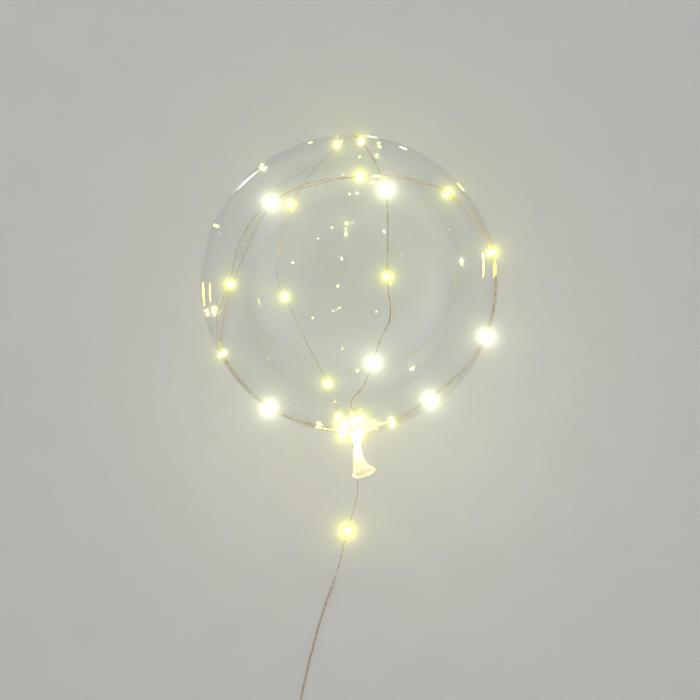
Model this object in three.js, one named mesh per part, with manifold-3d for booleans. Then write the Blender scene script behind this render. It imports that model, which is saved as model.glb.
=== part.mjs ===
// A clear bubble balloon that lies on its side, wound with a string of small lights.
// Millimetres, +Z up. The neck points to -Y, and the origin is the middle of the flat spot under the bubble.

import * as THREE from 'three';
import { mergeVertices } from 'three/addons/utils/BufferGeometryUtils.js';
import Module from 'manifold-3d';

const wasm = await Module();
wasm.setup();

// Air left between pieces that touch on the real object
const GAP = 0.3;

// Vertices closer than this are one
const MERGE_DISTANCE = 1e-4;

// Bubble, neck and tail, measured from the bubble's centre along the neck
const BUBBLE_RADIUS = 160;
const FLAT_SPOT_RADIUS = 25;
const CENTRE_HEIGHT = Math.sqrt(BUBBLE_RADIUS ** 2 - FLAT_SPOT_RADIUS ** 2);
const GATHER_ANGLE = 8;
const NECK_RADIUS = 4.5;
const NECK_TOP = -171;
const NECK_END = -183;
const WAIST_RADIUS = 3.6;
const WAIST_END = -186;
const MOUTH_RADIUS = 11.5;
const MOUTH_END = -207;
const FLARE_POWER = 1.2;
const TAIL_WALL = 1;
const TAIL_HOLLOW_END = -190;
const TAIL_LEAN = 4.6;
const TAIL_DROOP = 3;
const MOUTH_SLANT_X = 0.22;
const MOUTH_SLANT_Z = 0.21;

// Pleats of the gathered film, cut inwards from the outline
const PLEAT_COUNT = 12;
const PLEAT_SHARE = 0.25;
const PLEAT_START = -152;
const MOUTH_WAVES = 3;
const MOUTH_WAVE_SHARE = 0.07;

// Fineness of the film
const FILM_SEGMENTS = 48;
const BUBBLE_ROWS = 22;
const GATHER_ROWS = 5;
const TAIL_ROWS = 5;
const FIRST_HOLLOW_ROW = 2;

// Light string: a wire with a resin drop at each light
const WIRE_DIAMETER = 1;
const WIRE_SIDES = 6;
const WIRE_LIFT = 2.5;
const STEPS_PER_SPAN = 5;
const DROP_RADIUS = 1.8;
const DROP_LENGTH = 4.6;
const DROP_SIDES = 8;

// A drop's profile: where its thick part and its hollowed end stop, as shares of half its length, and the
// radius of its rim as a share of the full radius
const DROP_THICK_END = 0.5;
const DROP_HOLLOW_END = 0.85;
const DROP_RIM = 0.75;

// Turns of wire on the neck: the turn that each layer starts and ends at, its radius, and where along the
// neck it starts
const TURN_PITCH = 1.7;
const TURN_STEP = 30;
const FIRST_LAYER = [180, 1290, 5.6, -184.2];
const SECOND_LAYER = [100, 340, 7.3, -181.4];
const LAST_TURN = [190, 280, 8.6, -178];

// The wire between those turns and the bubble: turn, radius and place along the neck
const STRING_START = [[180, 6.2, -188], [180, 6, -186.3]];
const TO_FRONT_LOOP = [[228, 6.8, -176], [243, 10, -171.5], [255, 16, -166.5]];
const FROM_FRONT_LOOP = [[86, 16, -166.5], [87, 10.5, -172.5], [91, 8, -178]];
const TO_CROWN_LOOP = [[354, 8.2, -176.5], [3, 11, -171.5], [9, 16, -166.5]];
const FROM_CROWN_LOOP = [[184, 16, -166.5], [185, 11, -172.5]];
const STRING_END = [[298, 9.2, -177.6], [321, 15.5, -179.5]];

// Places of the drops on the bubble: rise is the angle up from the neck, and turn the angle round it from
// the top, both in degrees. The third number lifts the wire where it passes over another stretch.
const FRONT_LOOP = [
  [34.5, -92], [60.5, -80], [80.5, -51.5], [107.5, -30.5], [115, 5.5],
  [112, 45], [94, 71], [63, 79.5], [30.5, 73], [13.5, 84],
];
const CROSSING = [114, 14.5, 1.7];
const CROWN_LOOP_FRONT = [[11.5, 5.5], [42, 10], [74.5, 13.5], [108.5, 15]];
const CROWN_LOOP_BACK = [
  [141.5, 10.5], [177.5, -115.5], [140, -144.5], [102, -153], [64.5, -169], [43.5, -171],
];
const FRONT_LOOP_ENDS = [[9, -99], [8.5, 86]];
const CROWN_LOOP_ENDS = [[8.5, 8], [8.5, -176]];

// Bends without a drop, after the crown loop's first one
const CROWN_LOOP_BENDS = [[20.5, -5.5], [29.4, 3.9]];

// Free lead, from the neck down to the floor and along it to the battery box
const LEAD_DIAMETER = 1;
const LEAD_SIDES = 8;
const LEAD_STEPS_PER_SPAN = 3;
const LEAD_DROP_INDEX = 8;
const LEAD_ROUTE = [
  [0, -188, 151.8], [0, -194, 150.2], [-0.3, -201, 145], [-0.6, -207, 136], [-1, -213, 121],
  [-2, -221, 98], [-5.5, -229, 77], [-9.5, -237, 60], [-13.8, -246, 44], [-17.4, -256, 30],
  [-20.7, -266, 19], [-25, -278, 10], [-30.6, -292, 3.5], [-37, -308, 0.9], [-44, -326, 0.7],
  [-51, -346, 0.7], [-58, -368, 0.7], [-65, -392, 0.7], [-71, -416, 0.7], [-76, -438, 1],
  [-78.8, -454, 3], [-79.8, -465, 6], [-80, -472, 7.5], [-80, -477, 7.5],
];

// Battery box, flat on the floor at the end of the lead
const BOX_LENGTH = 72;
const BOX_WIDTH = 36;
const CASE_HEIGHT = 17.5;
const BOX_WALL = 1.6;
const BOX_CORNER = 4;
const COVER_THICKNESS = 2.4;
const BUTTON_RADIUS = 5.5;
const BUTTON_POCKET = 0.8;
const BUTTON_RISE = 1.4;
const BUTTON_FROM_END = 16;
const BUTTON_CROWN = 0.4;
const BUTTON_CROWN_SHARE = 0.75;
const GROMMET_LENGTH = 8;
const GROMMET_COLLAR = 1.5;
const GROMMET_BASE_RADIUS = 3;
const GROMMET_TIP_RADIUS = 1.3;
const ROUND_SEGMENTS = 16;

const radians = THREE.MathUtils.degToRad;

// Materials

const clearFilm = new THREE.MeshStandardMaterial({
  color: 0xf3f8f8, roughness: 0.05, metalness: 0, transparent: true, opacity: 0.25,
});
const enamelledCopper = new THREE.MeshStandardMaterial({ color: 0xc9a56a, roughness: 0.35, metalness: 0.8 });
const clearResin = new THREE.MeshStandardMaterial({ color: 0xfff3b0, roughness: 0.1, metalness: 0 });
const whitePlastic = new THREE.MeshStandardMaterial({ color: 0xe9e9e4, roughness: 0.45, metalness: 0 });
const softSilicone = new THREE.MeshStandardMaterial({ color: 0xb9bcbd, roughness: 0.7, metalness: 0 });

// Solids cut and joined as closed bodies

function toSolid(geometry) {
  const bare = geometry.clone();
  bare.deleteAttribute('normal');
  bare.deleteAttribute('uv');
  const merged = mergeVertices(bare, MERGE_DISTANCE);
  const corners = merged.index.array;
  const triangles = [];
  for (let i = 0; i < corners.length; i += 3) {
    const [a, b, c] = corners.slice(i, i + 3);
    if (a !== b && b !== c && c !== a) triangles.push(a, b, c);
  }
  return new wasm.Manifold(new wasm.Mesh({
    numProp: 3,
    vertProperties: new Float32Array(merged.attributes.position.array),
    triVerts: new Uint32Array(triangles),
  }));
}

function toGeometry(solid) {
  const mesh = solid.getMesh();
  const geometry = new THREE.BufferGeometry();
  geometry.setAttribute('position', new THREE.BufferAttribute(mesh.vertProperties, 3));
  geometry.setIndex(new THREE.BufferAttribute(mesh.triVerts, 1));
  geometry.computeVertexNormals();
  return geometry;
}

function namedMesh(name, geometry, material) {
  const mesh = new THREE.Mesh(geometry, material);
  mesh.name = name;
  return mesh;
}

// Balloon: one turned outline, with pleats, a leaning tail and a flat spot to lie on

function filmOutline() {
  const outline = [];
  const lastAngle = 180 - GATHER_ANGLE;
  for (let i = 0; i <= BUBBLE_ROWS; i++) {
    const angle = radians(lastAngle * i / BUBBLE_ROWS);
    outline.push(new THREE.Vector2(BUBBLE_RADIUS * Math.sin(angle), BUBBLE_RADIUS * Math.cos(angle)));
  }
  const bubbleEnd = outline.at(-1);
  const inward = new THREE.Vector2(Math.cos(radians(lastAngle)), -Math.sin(radians(lastAngle)));
  const reach = (bubbleEnd.x - NECK_RADIUS) / 2;
  const gather = new THREE.CubicBezierCurve(
    bubbleEnd,
    bubbleEnd.clone().addScaledVector(inward, reach),
    new THREE.Vector2(NECK_RADIUS, (bubbleEnd.y + NECK_TOP) / 2),
    new THREE.Vector2(NECK_RADIUS, NECK_TOP),
  );
  outline.push(...gather.getPoints(GATHER_ROWS).slice(1));
  outline.push(new THREE.Vector2(NECK_RADIUS, NECK_END));
  const tailPoint = (row, wall) => {
    const share = row / TAIL_ROWS;
    const radius = THREE.MathUtils.lerp(WAIST_RADIUS, MOUTH_RADIUS, share ** FLARE_POWER);
    return new THREE.Vector2(radius - wall, THREE.MathUtils.lerp(WAIST_END, MOUTH_END, share));
  };
  for (let row = 0; row <= TAIL_ROWS; row++) outline.push(tailPoint(row, 0));
  for (let row = TAIL_ROWS; row >= FIRST_HOLLOW_ROW; row--) outline.push(tailPoint(row, TAIL_WALL));
  outline.push(new THREE.Vector2(0, TAIL_HOLLOW_END));
  return outline;
}

function shapeFilm(geometry) {
  const places = geometry.attributes.position;
  for (let i = 0; i < places.count; i++) {
    let [x, y, z] = [places.getX(i), places.getY(i), places.getZ(i)];
    const turn = Math.atan2(x, z);
    const tail = THREE.MathUtils.clamp((WAIST_END - y) / (WAIST_END - MOUTH_END), 0, 1);
    const gathered = THREE.MathUtils.smoothstep(-y, -PLEAT_START, -NECK_TOP) * (1 - tail);
    const pleat = 1 - PLEAT_SHARE * gathered * (0.5 - 0.5 * Math.cos(PLEAT_COUNT * turn));
    const wave = 1 + MOUTH_WAVE_SHARE * tail * Math.cos(MOUTH_WAVES * turn);
    x *= pleat * wave;
    z *= pleat * wave;
    y += tail * (MOUTH_SLANT_X * x + MOUTH_SLANT_Z * z);
    places.setXYZ(i, x + TAIL_LEAN * tail ** 2, y, z - TAIL_DROOP * tail ** 2);
  }
  return geometry;
}

function makeBalloon() {
  const film = shapeFilm(new THREE.LatheGeometry(filmOutline().reverse(), FILM_SEGMENTS));
  const floor = new THREE.BoxGeometry(2 * BUBBLE_RADIUS, 2 * BUBBLE_RADIUS, BUBBLE_RADIUS);
  floor.translate(0, 0, -CENTRE_HEIGHT - BUBBLE_RADIUS / 2);
  return namedMesh('balloon', toGeometry(toSolid(film).subtract(toSolid(floor))), clearFilm);
}

// Wires and the drops on them

class Route extends THREE.CatmullRomCurve3 {
  // Steps fall on the listed points, however far apart those are
  getUtoTmapping(share) {
    return share;
  }
}

function tubeAlong(points, stepsPerSpan, diameter, sides) {
  const corners = [];
  for (let i = 0; i < sides; i++) {
    const angle = 2 * Math.PI * i / sides;
    corners.push(new THREE.Vector2(diameter / 2 * Math.cos(angle), diameter / 2 * Math.sin(angle)));
  }
  return new THREE.ExtrudeGeometry(new THREE.Shape(corners), {
    steps: (points.length - 1) * stepsPerSpan,
    extrudePath: new Route(points),
    bevelEnabled: false,
  });
}

function makeDrop(name, place, along) {
  const bore = WIRE_DIAMETER / 2 + GAP;
  const half = DROP_LENGTH / 2;
  const rim = DROP_RIM * DROP_RADIUS;
  const thick = DROP_THICK_END * half;
  const hollow = DROP_HOLLOW_END * half;
  const profile = [
    [bore, -hollow], [rim, -half], [DROP_RADIUS, -thick],
    [DROP_RADIUS, thick], [rim, half], [bore, hollow], [bore, -hollow],
  ];
  const outline = profile.map(([r, y]) => new THREE.Vector2(r, y));
  const drop = namedMesh(name, new THREE.LatheGeometry(outline, DROP_SIDES), clearResin);
  drop.position.copy(place);
  drop.quaternion.setFromUnitVectors(new THREE.Vector3(0, 1, 0), along.clone().normalize());
  return drop;
}

function aroundNeck(turn, radius, y) {
  return new THREE.Vector3(radius * Math.sin(radians(turn)), y, radius * Math.cos(radians(turn)));
}

function onBubble([rise, turn, extra = 0]) {
  const reach = BUBBLE_RADIUS + WIRE_LIFT + extra;
  return aroundNeck(turn, reach * Math.sin(radians(rise)), -reach * Math.cos(radians(rise)));
}

function overBubble(stations) {
  const knots = stations.map(onBubble);
  const lengths = knots.map((knot) => knot.length());
  const curve = new THREE.CatmullRomCurve3(knots);
  const spans = knots.length - 1;
  const points = [];
  for (let i = 0; i <= spans * STEPS_PER_SPAN; i++) {
    const span = Math.min(Math.floor(i / STEPS_PER_SPAN), spans - 1);
    const share = i / STEPS_PER_SPAN - span;
    const length = THREE.MathUtils.lerp(lengths[span], lengths[span + 1], share);
    points.push(curve.getPoint(i / (spans * STEPS_PER_SPAN)).setLength(length));
  }
  return points;
}

function neckTurns(fromTurn, toTurn, radius, fromY) {
  const points = [];
  const way = Math.sign(toTurn - fromTurn);
  const count = Math.round(Math.abs(toTurn - fromTurn) / TURN_STEP);
  const rise = Math.sign(NECK_TOP - fromY) * TURN_PITCH * TURN_STEP / 360;
  for (let i = 0; i <= count; i++) {
    points.push(aroundNeck(fromTurn + way * i * TURN_STEP, radius, fromY + i * rise));
  }
  return points;
}

function lightWireRoute() {
  const onNeck = (places) => places.map((place) => aroundNeck(...place));
  const [frontStart, frontEnd] = FRONT_LOOP_ENDS;
  const [crownStart, crownEnd] = CROWN_LOOP_ENDS;
  const [firstDrop, ...drops] = CROWN_LOOP_FRONT;
  const crownFront = [crownStart, firstDrop, ...CROWN_LOOP_BENDS, ...drops];
  return [
    ...onNeck(STRING_START),
    ...neckTurns(...FIRST_LAYER),
    ...onNeck(TO_FRONT_LOOP),
    ...overBubble([frontStart, ...FRONT_LOOP, frontEnd]),
    ...onNeck(FROM_FRONT_LOOP),
    ...neckTurns(...SECOND_LAYER),
    ...onNeck(TO_CROWN_LOOP),
    ...overBubble([...crownFront, CROSSING, ...CROWN_LOOP_BACK, crownEnd]),
    ...onNeck(FROM_CROWN_LOOP),
    ...neckTurns(...LAST_TURN),
    ...onNeck(STRING_END),
  ];
}

function nearestOn(points, target) {
  let best = 1;
  for (let i = 1; i < points.length - 1; i++) {
    if (points[i].distanceTo(target) < points[best].distanceTo(target)) best = i;
  }
  return [points[best], points[best + 1].clone().sub(points[best - 1])];
}

function makeLightString() {
  const string = new THREE.Group();
  const route = lightWireRoute();
  string.add(namedMesh('light_wire', tubeAlong(route, 1, WIRE_DIAMETER, WIRE_SIDES), enamelledCopper));
  const number = (i) => String(i + 1).padStart(2, '0');
  FRONT_LOOP.forEach((station, i) => {
    string.add(makeDrop(`front_light_${number(i)}`, ...nearestOn(route, onBubble(station))));
  });
  [...CROWN_LOOP_FRONT, ...CROWN_LOOP_BACK].forEach((station, i) => {
    string.add(makeDrop(`crown_light_${number(i)}`, ...nearestOn(route, onBubble(station))));
  });
  [TO_FRONT_LOOP.at(-1), TO_CROWN_LOOP.at(-1)].forEach((place, i) => {
    string.add(makeDrop(`neck_light_${number(i)}`, ...nearestOn(route, aroundNeck(...place))));
  });
  return string;
}

function makeLead() {
  const lead = new THREE.Group();
  const points = LEAD_ROUTE.map(([x, y, z]) => new THREE.Vector3(x, y, z));
  const drop = points[LEAD_DROP_INDEX];
  const along = points[LEAD_DROP_INDEX + 1].clone().sub(points[LEAD_DROP_INDEX - 1]);
  points[0].y -= GAP;
  const tube = tubeAlong(points, LEAD_STEPS_PER_SPAN, LEAD_DIAMETER, LEAD_SIDES);
  lead.add(namedMesh('lead_wire', tube, enamelledCopper));
  lead.add(makeDrop('lead_light', drop, along));
  return lead;
}

// Battery box: an empty tray, its lift-off cover, a soft button pad and the grommet that the lead goes into

function roundedBlock(width, length, corner, height) {
  const [x, y] = [width / 2 - corner, length / 2 - corner];
  const outline = new THREE.Shape();
  outline.absarc(x, y, corner, 0, Math.PI / 2);
  outline.absarc(-x, y, corner, Math.PI / 2, Math.PI);
  outline.absarc(-x, -y, corner, Math.PI, 1.5 * Math.PI);
  outline.absarc(x, -y, corner, 1.5 * Math.PI, 2 * Math.PI);
  const curveSegments = ROUND_SEGMENTS / 4;
  return new THREE.ExtrudeGeometry(outline, { depth: height, bevelEnabled: false, curveSegments });
}

function makeCase() {
  const block = roundedBlock(BOX_WIDTH, BOX_LENGTH, BOX_CORNER, CASE_HEIGHT);
  const bay = roundedBlock(
    BOX_WIDTH - 2 * BOX_WALL, BOX_LENGTH - 2 * BOX_WALL, BOX_CORNER - BOX_WALL, CASE_HEIGHT,
  );
  bay.translate(0, 0, BOX_WALL);
  return namedMesh('battery_case', toGeometry(toSolid(block).subtract(toSolid(bay))), whitePlastic);
}

function makeCover() {
  const plate = roundedBlock(BOX_WIDTH, BOX_LENGTH, BOX_CORNER, COVER_THICKNESS);
  const pocket = new THREE.CylinderGeometry(
    BUTTON_RADIUS + GAP, BUTTON_RADIUS + GAP, 2 * BUTTON_POCKET, ROUND_SEGMENTS,
  );
  pocket.rotateX(Math.PI / 2);
  pocket.translate(0, BOX_LENGTH / 2 - BUTTON_FROM_END, COVER_THICKNESS);
  const pocketed = toGeometry(toSolid(plate).subtract(toSolid(pocket)));
  const cover = namedMesh('battery_cover', pocketed, whitePlastic);
  cover.position.z = CASE_HEIGHT + GAP;
  return cover;
}

function makeButton() {
  const low = COVER_THICKNESS - BUTTON_POCKET + GAP;
  const top = COVER_THICKNESS + BUTTON_RISE;
  const dome = [
    [0, low], [BUTTON_RADIUS, low], [BUTTON_RADIUS, COVER_THICKNESS],
    [BUTTON_CROWN_SHARE * BUTTON_RADIUS, top - BUTTON_CROWN], [0, top],
  ];
  const pad = new THREE.LatheGeometry(dome.map(([r, y]) => new THREE.Vector2(r, y)), ROUND_SEGMENTS);
  pad.rotateX(Math.PI / 2);
  const button = namedMesh('button_pad', pad, softSilicone);
  button.position.set(0, BOX_LENGTH / 2 - BUTTON_FROM_END, CASE_HEIGHT + GAP);
  return button;
}

function makeGrommet(height) {
  const base = BOX_LENGTH / 2 + GAP;
  const taper = [
    [0, base], [GROMMET_BASE_RADIUS, base], [GROMMET_BASE_RADIUS, base + GROMMET_COLLAR],
    [GROMMET_TIP_RADIUS, base + GROMMET_LENGTH], [0, base + GROMMET_LENGTH],
  ];
  const profile = taper.map(([r, y]) => new THREE.Vector2(r, y));
  const grommet = namedMesh('cord_grommet', new THREE.LatheGeometry(profile, ROUND_SEGMENTS), softSilicone);
  grommet.position.z = height;
  return grommet;
}

function makeBatteryBox() {
  const box = new THREE.Group();
  const [x, y, z] = LEAD_ROUTE.at(-1);
  box.add(makeCase(), makeCover(), makeButton(), makeGrommet(z));
  box.position.set(x, y - 2 * GAP - GROMMET_LENGTH - BOX_LENGTH / 2, 0);
  return box;
}

// The whole object

const balloon = new THREE.Group();
balloon.position.z = CENTRE_HEIGHT;
balloon.add(makeBalloon(), makeLightString());

const part = new THREE.Group();
part.add(balloon, makeLead(), makeBatteryBox());

export default part;
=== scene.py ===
"""A clear bubble balloon that lies on its side, wound with a string of small lights.

Laid out as an add-on: settings that a user would change, one operator for each piece or group of like
pieces, one for the stage, and a panel that lists them. Shapes are worked out in millimetres, with the neck
pointing to -Y. Wire and lead follow the part's own routes, and the wound wire has a few more bends.
"""

import math
from functools import partial

import bpy
import numpy as np
from bpy.props import FloatProperty, FloatVectorProperty, IntProperty, PointerProperty
from mathutils import Matrix, Vector


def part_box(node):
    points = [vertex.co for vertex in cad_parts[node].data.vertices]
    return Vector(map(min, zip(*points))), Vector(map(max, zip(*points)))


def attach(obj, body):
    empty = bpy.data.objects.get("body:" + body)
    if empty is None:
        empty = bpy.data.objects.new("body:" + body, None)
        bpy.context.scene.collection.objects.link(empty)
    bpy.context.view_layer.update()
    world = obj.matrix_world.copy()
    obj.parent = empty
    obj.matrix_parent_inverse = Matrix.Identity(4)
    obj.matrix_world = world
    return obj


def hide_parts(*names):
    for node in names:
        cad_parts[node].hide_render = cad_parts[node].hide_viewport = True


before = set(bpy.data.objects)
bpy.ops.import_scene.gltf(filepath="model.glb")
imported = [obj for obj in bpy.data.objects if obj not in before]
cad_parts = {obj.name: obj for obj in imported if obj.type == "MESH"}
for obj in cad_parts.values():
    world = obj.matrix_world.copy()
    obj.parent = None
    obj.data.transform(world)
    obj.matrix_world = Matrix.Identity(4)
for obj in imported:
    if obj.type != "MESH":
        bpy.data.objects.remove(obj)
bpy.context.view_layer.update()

bl_info = {
    "name": "Clear Bubble Balloon",
    "version": (1, 0, 0),
    "blender": (4, 5, 0),
    "location": "View3D > Sidebar > Balloon",
    "description": "A clear film balloon wound with a string of small lights, with its lead and battery box",
    "category": "Add Mesh",
}

MM = 0.001
BODY = "root"
SHARP_EDGE = math.radians(50)

# The photograph's square frame, and where the bubble sits in it, in pixels
PHOTO_SIDE = 700
BUBBLE_PIXEL = (349.5, 284.0)
BUBBLE_PIXEL_RADIUS = 149.0

# The camera's sensor, in millimetres
SENSOR_WIDTH = 36

# Streaks along the bubble's rim: name, start and end in the frame, the strip's width and distance from the
# film in metres, its strength and its colour
RIM_STRIPS = [
    ("white_rim_strip", (221, 210), (268, 168.5), 0.018, 0.25, 0.5, "#f4f8ff"),
    ("white_rim_core", (238, 191), (258, 173.5), 0.026, 0.25, 1.6, "#f4f8ff"),
    ("left_rim_strip", (204.5, 282), (205.5, 306), 0.018, 0.12, 3.4, "#ffdc46"),
    ("left_inner_strip", (212, 283), (212.5, 302), 0.008, 0.12, 5, "#ffe45c"),
    ("right_rim_strip", (493.5, 255), (492.5, 277), 0.018, 0.12, 3.4, "#ffdc46"),
    ("right_inner_strip", (481, 256), (480.5, 278), 0.008, 0.12, 5, "#ffe45c"),
    ("crown_rim_strip", (366, 137), (377, 138.5), 0.016, 0.12, 3, "#fff4c8"),
    ("upper_rim_strip", (399, 148), (407, 151), 0.014, 0.12, 3, "#fff8e6"),
    ("right_shoulder_strip", (456.5, 184), (464, 192), 0.016, 0.12, 3.4, "#ffe45c"),
    ("left_shoulder_strip", (214.5, 225.5), (221, 227.5), 0.004, 0.12, 4, "#ffe45c"),
    ("upper_left_strip", (309, 144.5), (312.5, 143.3), 0.014, 0.12, 4, "#ffe45c"),
]

# Soft lamps: name, place, width and length in metres, and power in watts. They aim at a point over the floor.
SOFTBOXES = [
    ("key_softbox", (-1.6, 1.5, 2.2), 1.4, 1.0, 12),
    ("fill_softbox", (1.9, -0.8, 1.8), 1.2, 1.2, 6),
]
SOFTBOX_AIM = (0, 0, 0.15)

# Shades of the soft dome by the sine of their height: like the floor at the horizon, brightest low down
DOME_SHADES = [(0, "#b0aeac"), (0.34, "#f6f6f4"), (0.6, "#cfd0d1"), (1, "#b4b6b8")]

# Floor, in metres: half its side, and how far it lies below the balloon so that the two don't blend
FLOOR_HALF_SIDE = 8
FLOOR_DROP = 0.0003

# Haze round each light as a camera sees it: the brightness it starts at, its strength, size and tint
HALO = {"Threshold": 1.5, "Strength": 0.32, "Size": 0.3}
HALO_TINT = "#fbffe6"

# Brightest light that a bounce carries, which keeps bright specks out
BOUNCE_CLAMP = 400

# Film below the bubble: the angle from the neck at which it leaves the sphere, in degrees, and its places
# along the neck from the bubble's centre, in millimetres
GATHER_ANGLE = 8
NECK_TOP = -171
NECK_END = -183
WAIST_END = -186
MOUTH_END = -207

# The tail: the power by which it flares, how far it leans and droops in millimetres, and its mouth's slant
FLARE_POWER = 1.2
TAIL_LEAN = 5.6
TAIL_DROOP = 3
MOUTH_SLANT_X = 0.22
MOUTH_SLANT_Z = 0.21

# Waves of the open mouth: share of its radius, number, and where they start in radians
MOUTH_WAVES = (0.07, 3, 0)
MOUTH_RIPPLES = (0.03, 7, 0.5)

# Pleats: how deep they are, the angles from the neck at which they start and are full, and the most that they
# take of the radius
PLEAT_DEPTH = 2.2
PLEAT_START_ANGLE = 32
PLEAT_FULL_ANGLE = 2
PLEAT_SHARE = 0.3

# How uneven they are: shifts round the neck and a swell in depth, each as size, number and start, how sharp
# the creases are, and the finer pleats among them
PLEAT_SHIFTS = [(0.10, 3, 0.6), (0.05, 8, 2.1)]
PLEAT_SWELL = (0.22, 5, 1.0)
PLEAT_SHARPNESS = 1.5
FINE_PLEAT_SHARE = 0.2
FINE_PLEATS_EXTRA = 3
FINE_PLEAT_START = 1.3

# Shallow flats of the bubble: rise, turn and half width in degrees, depth in millimetres
FLATS = [(121.5, 77.7, 6.5, 1.2), (132.3, -73.7, 7.5, 1.1), (97, 92, 5, 0.5), (88, -95, 5, 0.5)]

# Film under the wire is pressed in by this much, over this width
WIRE_GROOVE_DEPTH = 0.3
WIRE_GROOVE_WIDTH = 3.5

# Fineness of the film
FILM_COLUMNS = 240
BUBBLE_ROWS = 108
GATHER_ROWS = 22
NECK_ROWS = 10
TAIL_ROWS = 24
LIP_ROWS = 8

# The lip is rolled outwards: radius of the roll, and how far round it goes in degrees
LIP_ROLL = 0.45
LIP_ROLL_TURN = 320

# Fine creases in the film's finish: how many fan out round the neck, how far from its axis they fade, and
# where along it they end, in millimetres
CREASES_ROUND_NECK = 70
CREASE_FADE = (6, 45)
CREASE_END = (-155, -145)

# Painted glow on the gathered film and its lip, in place of the lights' light: its colour by the place along
# the neck in millimetres
NECK_PAINTED_GLOW = [
    (-207, "#332c08"), (-198, "#52480e"), (-191, "#8e8036"), (-185, "#fff4b8"), (-176, "#fffbe0"),
    (-168, "#b5aa60"), (-163, "#000000"),
]
LIP_PAINTED_GLOW = [(-220, "#8f7f30"), (-160, "#8f7f30")]
PAINTED_GLOW_STRENGTH = 4

# And painted glow out over the bubble, its creases painted as lit: its colour and strength, and how far from
# the neck's axis it reaches
CREASE_PAINTED_GLOW = "#ffee9a"
CREASE_PAINTED_GLOW_STRENGTH = 0.9
CREASE_PAINTED_GLOW_REACH = (10, 40)

# Turns of wire on the neck: their pitch in millimetres, the degrees from point to point, and for each layer
# the degrees between which it runs, its radius and where it starts along the neck
TURN_PITCH = 1.7
TURN_STEP = 15
FIRST_LAYER = (180, 1290, 4.9, -182.4)
SECOND_LAYER = (100, 340, 6.1, -179.6)
LAST_TURN = (190, 280, 7.2, -176.6)

# The wire between those turns and the bubble, and its two ends: turn, radius and place along the neck
STRING_START = [(180, 6.2, -188), (180, 5.4, -185.6)]
TO_FRONT_LOOP = [(228, 6.2, -174.6), (243, 9.6, -171), (255, 16, -166.5)]
FROM_FRONT_LOOP = [(86, 16, -165.8), (87, 9.5, -170.2), (91, 6.6, -175.8)]
TO_CROWN_LOOP = [(354, 7.4, -175.4), (3, 10.4, -171.2), (9, 16, -166.5)]
FROM_CROWN_LOOP = [(184, 16, -166.5), (185, 10.4, -171.8)]
STRING_END = [(298, 8, -176.4), (312, 9.6, -177.2), (321, 12.5, -178.5)]

# Stations of the two loops: rise up from the neck and turn round it from the top, in degrees, how far the
# strands part on the way to the next station, in millimetres, the half turns that they make round each other
# there, and what the station carries
LIGHT, BEND, CROSSING = "light", "bend", "crossing"
FRONT_LOOP = [
    (9, -99, 0, 2, BEND), (34.5, -92, 0.6, 4, LIGHT), (60.5, -80, 5.5, 0, LIGHT),
    (80.5, -51.5, 7, 0, LIGHT), (107.5, -30.5, 2.6, 2, LIGHT), (115, 5.5, 2, 3, LIGHT),
    (112, 45, 5.5, 0, LIGHT), (94, 71, 1, 3, LIGHT), (63, 79.5, 2.8, 0, LIGHT),
    (30.5, 73, 2.3, 0, LIGHT), (13.5, 84, 0, 2, LIGHT), (8.5, 86, 0, 0, BEND),
]
CROWN_LOOP = [
    (8.5, 8, 0, 2, BEND), (11.5, 5.5, 0.3, 1, LIGHT), (20.5, -5.5, 0.2, 1, BEND),
    (25.5, -2, 0.2, 1, BEND), (29.4, 3.9, 0.2, 2, BEND), (42, 10, 0.3, 2, LIGHT),
    (51, 12.1, 0.2, 2, BEND), (59.3, 15.6, 0.3, 3, BEND), (74.5, 13.5, 0.3, 7, LIGHT),
    (108.5, 15, 0, 2, LIGHT), (114, 14.5, 0, 4, CROSSING), (141.5, 10.5, 0.3, 5, LIGHT),
    (177.5, -115.5, 0.5, 6, LIGHT), (140, -144.5, 0.3, 3, LIGHT), (119.6, -146.7, 0.2, 2, BEND),
    (107.2, -149, 0.2, 1, BEND), (102, -153, 0.4, 6, LIGHT), (64.5, -169, 0.2, 5, LIGHT),
    (43.5, -171, 0.2, 5, LIGHT), (8.5, -176, 0, 0, BEND),
]
STEPS_PER_SPAN = 24

# How high the wire is lifted at each kind of station, and over what length, in millimetres
LIFTS = {LIGHT: (1.5, 5), BEND: (0, 5), CROSSING: (1.3, 9)}

# From one of these places along the neck to the other, the wire's up turns from out of the bubble to out of
# the neck
UP_CHANGE = (150, 172)

# Sides of a round strand, and a direction that no strand starts along
STRAND_SIDES = 8
ANY_SIDE = (0.3, 0.5, 0.8)

# Free lead in millimetres: from the neck down to the floor and along it to the battery box, then inside that
LEAD_ROUTE = [
    (0, -188.3, 151.8), (0, -194, 150.2), (-0.3, -201, 145), (-0.6, -207, 136), (-1, -213, 121),
    (-2, -221, 98), (-5.5, -229, 77), (-9.5, -237, 60), (-13.8, -246, 44), (-17.4, -256, 30),
    (-20.7, -266, 19), (-25, -278, 10), (-30.6, -292, 3.5), (-37, -308, 0.9), (-44, -326, 0.7),
    (-51, -346, 0.7), (-58, -368, 0.7), (-65, -392, 0.7), (-71, -416, 0.7), (-76, -438, 1),
    (-78.8, -454, 3), (-79.8, -465, 6), (-80, -472, 7.5), (-80, -477, 7.5),
]
LEAD_INSIDE_BOX = [(-80, -484, 7.5), (-80, -494, 7.5), (-80, -504, 7.5)]

# The point of its route that carries a light, the pitch of its twist in
# millimetres, and the steps from point to point
LEAD_DROP_INDEX = 8
LEAD_TWIST_PITCH = 13
LEAD_STEPS = 10

# A resin drop: the powers that round its ends, how far its middle bulges to one side as a share of its
# radius, and its fineness
BEAD_ROUNDING = (2.2, 0.62)
BEAD_BULGE = 0.1
BEAD_ROWS, BEAD_COLUMNS = 19, 22

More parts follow.
